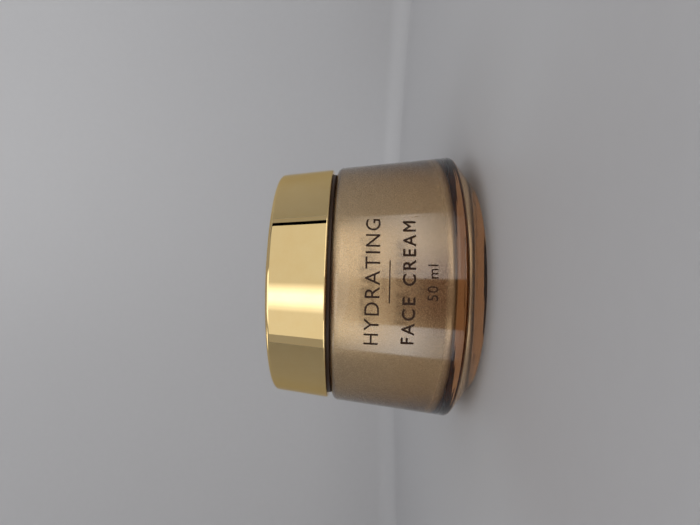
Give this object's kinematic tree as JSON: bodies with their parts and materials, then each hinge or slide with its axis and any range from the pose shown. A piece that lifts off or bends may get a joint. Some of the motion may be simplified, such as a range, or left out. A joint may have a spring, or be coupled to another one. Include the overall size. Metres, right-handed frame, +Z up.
{
  "type": "cream jar",
  "caption": "Round screw-cap face cream jar: thick clear tapered jar with a chamfered base, pearl inner cup with a threaded neck, and a mirror-gold cap.",
  "frame": {"origin": "centre of the foot, on the surface that the jar stands on", "axes": "+Z up along the jar's axis, -Y towards the printed front"},
  "size_m": [0.0674, 0.0674, 0.048],
  "materials": {
    "clear_glass": "polished clear glass with a light amber tint",
    "pearl_plastic": "champagne pearl lacquer, satin",
    "gold_plating": "vacuum-metallised mirror gold on plastic",
    "liner_plastic": "dark brown moulded plastic, satin",
    "wad_foam": "fine closed-cell foam",
    "cream": "soft opaque cream with a moist gloss",
    "print_ink": "dark brown screen print"
  },
  "bodies": {
    "jar": {"outer_jar": "clear_glass", "inner_cup": "pearl_plastic", "cream": "cream"},
    "wad": {"sealing_wad": "wad_foam"},
    "cap": {"cap_shell": "gold_plating", "cap_insert": "liner_plastic"}
  },
  "joints": [
    {"name": "cap_rise", "type": "slide", "parent": "jar", "child": "wad", "axis": [0, 0, 1], "range_m": [0, 0.024]},
    {"name": "cap_turn", "type": "hinge", "parent": "wad", "child": "cap", "pos_m": [0, 0, 0.0458], "axis": [0, 0, 1], "range_deg": [0, 1440]}
  ],
  "couplings": [
    {"joint": "cap_rise", "follows": "cap_turn", "m_per_rad": 0.00095493}
  ]
}
